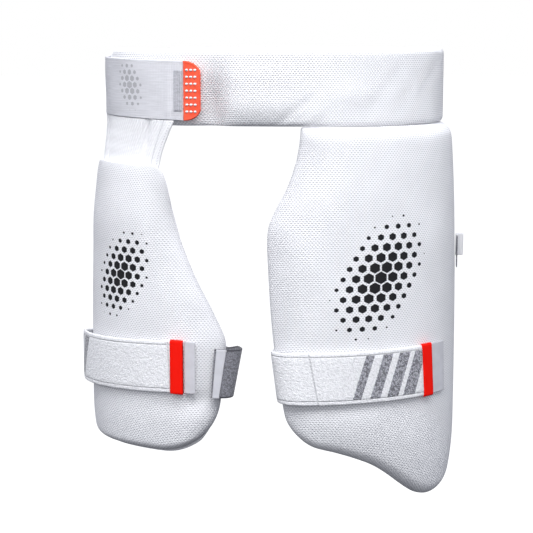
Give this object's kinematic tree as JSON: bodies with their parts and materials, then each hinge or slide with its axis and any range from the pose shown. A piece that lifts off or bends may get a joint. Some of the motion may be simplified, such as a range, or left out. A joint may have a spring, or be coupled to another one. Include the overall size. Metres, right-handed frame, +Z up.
{
  "type": "cricket thigh guard",
  "caption": "Padded waist band carrying a long outer and a shorter inner foam thigh guard, with thigh straps that wrap round behind and a closure tab at the hip.",
  "frame": {"origin": "middle of the waist loop, at half the height of the waist band", "axes": "+Z up along the wearer's body, -Y to the wearer's front, +X toward the side with the long guard"},
  "size_m": [0.3804, 0.2302, 0.4354],
  "materials": {
    "band_mesh": "white air-mesh fabric over foam, matte",
    "tab_elastic": "light grey woven elastic, slight sheen",
    "tab_stitching": "mid grey dense bar stitching, matte",
    "badge_rubber": "orange moulded rubber, satin",
    "hanger_knit": "white ribbed knit, matte",
    "guard_mesh": "white dimpled mesh fabric over moulded foam, matte",
    "backing_cloth": "white lining cloth, matte",
    "strap_terry": "white brushed loop strap with stitched hems, matte",
    "strap_binding": "red binding tape, slight sheen",
    "smooth_patch": "smooth white woven tape, slight sheen",
    "elastic_grey": "grey brushed elastic, matte",
    "webbing_white": "white woven webbing, matte"
  },
  "bodies": {
    "root": {"waist_band": "band_mesh", "closure_tab": "tab_elastic", "tab_bar": "tab_stitching", "pull_badge": "badge_rubber", "knit_hanger": "hanger_knit", "small_guard": "guard_mesh", "small_guard_backing": "backing_cloth", "small_strap": "strap_terry", "small_strap_end": "strap_binding", "small_strap_patch": "smooth_patch", "small_elastic": "elastic_grey", "small_elastic_anchor": "smooth_patch", "large_guard": "guard_mesh", "large_strap": "strap_terry", "large_strap_end": "strap_binding", "large_strap_patch": "smooth_patch", "side_tab": "webbing_white"}
  },
  "joints": []
}
